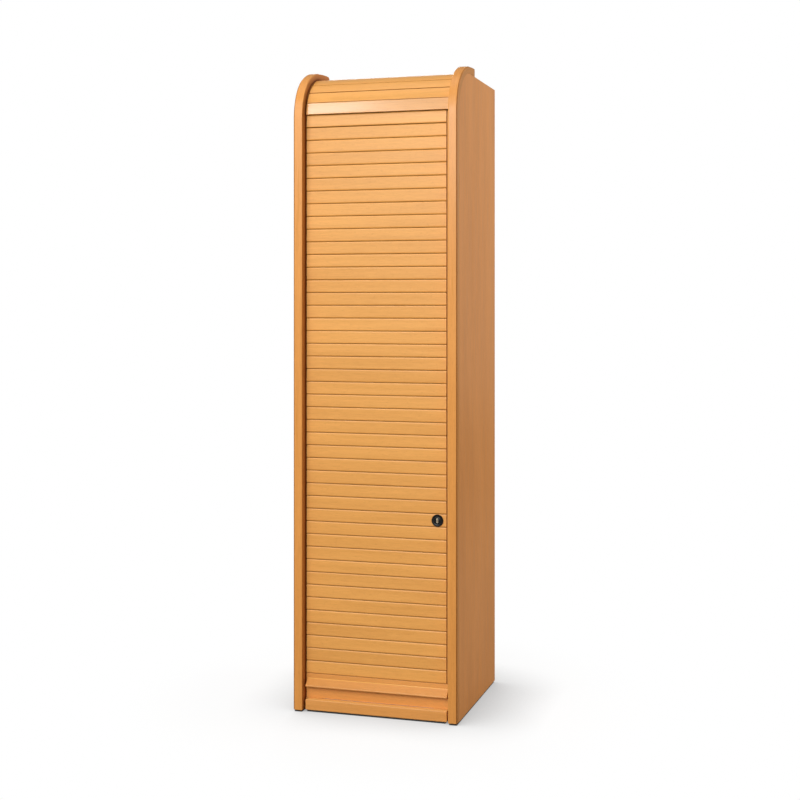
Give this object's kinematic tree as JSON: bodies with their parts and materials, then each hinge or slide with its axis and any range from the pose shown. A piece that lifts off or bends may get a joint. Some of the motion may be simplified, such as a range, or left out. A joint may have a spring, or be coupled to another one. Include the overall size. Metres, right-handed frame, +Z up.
{
  "type": "tambour door cabinet",
  "caption": "Tall beech cabinet with rounded top front edging, a tambour door that runs up into the top, a slat lock and inner shelves.",
  "frame": {"origin": "on the floor, in the middle of the bounding box's plan", "axes": "+Z up, the door faces -Y, +X to the right of someone facing the door"},
  "size_m": [0.398, 0.384, 1.521],
  "materials": {
    "beech_veneer": "beech veneer, satin lacquer",
    "solid_beech": "solid beech, satin lacquer",
    "beech_slats": "solid beech slats, satin lacquer",
    "back_board": "thin fibreboard with a beech print",
    "black_plastic": "moulded black plastic",
    "stop_rubber": "matt black rubber",
    "zinc_steel": "zinc plated steel",
    "black_lock": "black plated zinc die casting",
    "brass_core": "nickel plated brass"
  },
  "bodies": {
    "carcase": {"side_board_left": "beech_veneer", "side_board_right": "beech_veneer", "edging_left": "solid_beech", "edging_right": "solid_beech", "top_panel": "beech_veneer", "inner_top": "beech_veneer", "bottom_panel": "beech_veneer", "false_back": "back_board", "shelf_1": "beech_veneer", "shelf_2": "beech_veneer", "shelf_3": "beech_veneer", "back_panel": "back_board", "rear_plinth_rail": "beech_veneer", "back_screw_1": "zinc_steel", "back_screw_2": "zinc_steel", "back_screw_3": "zinc_steel", "back_screw_4": "zinc_steel", "plinth_rail": "solid_beech", "plinth_block_left": "beech_veneer", "plinth_block_right": "beech_veneer", "floor_strip_left": "black_plastic", "floor_strip_right": "black_plastic", "floor_strip_front": "black_plastic", "header_rail": "solid_beech", "curved_cover": "beech_slats", "cover_block_left": "beech_veneer", "cover_block_right": "beech_veneer", "door_stop_left": "stop_rubber", "door_stop_right": "stop_rubber", "shelf_1_pin_1": "zinc_steel", "shelf_1_pin_2": "zinc_steel", "shelf_1_pin_3": "zinc_steel", "shelf_1_pin_4": "zinc_steel", "shelf_2_pin_1": "zinc_steel", "shelf_2_pin_2": "zinc_steel", "shelf_2_pin_3": "zinc_steel", "shelf_2_pin_4": "zinc_steel", "shelf_3_pin_1": "zinc_steel", "shelf_3_pin_2": "zinc_steel", "shelf_3_pin_3": "zinc_steel", "shelf_3_pin_4": "zinc_steel", "strike_bracket": "zinc_steel", "strike_screw_1": "zinc_steel", "strike_screw_2": "zinc_steel"},
    "door": {"tambour_curtain": "beech_slats", "end_rail": "solid_beech", "grip_strip": "solid_beech", "grip_screw_1": "zinc_steel", "grip_screw_2": "zinc_steel", "grip_screw_3": "zinc_steel"},
    "lock_case": {"lock_rosette": "black_lock", "lock_barrel": "black_lock", "lock_nut": "zinc_steel"},
    "lock_core": {"lock_plug": "brass_core", "lock_cam": "zinc_steel", "cam_screw": "zinc_steel"}
  },
  "joints": [
    {"name": "door_lift", "type": "slide", "parent": "carcase", "child": "door", "axis": [0, 0, 1], "range_m": [0, 1.29], "deforming": ["tambour_curtain"]},
    {"name": "lock_rise", "type": "slide", "parent": "carcase", "child": "lock_case", "axis": [0, 0.0096, 1], "range_m": [0, 0.961]},
    {"name": "lock_turn", "type": "hinge", "parent": "lock_case", "child": "lock_core", "pos_m": [0.146, -0.16, 0.4613], "axis": [0, -1, 0], "range_deg": [0, 90]}
  ],
  "couplings": [
    {"joint": "lock_rise", "follows": "door_lift", "ratio": 0.74438}
  ]
}
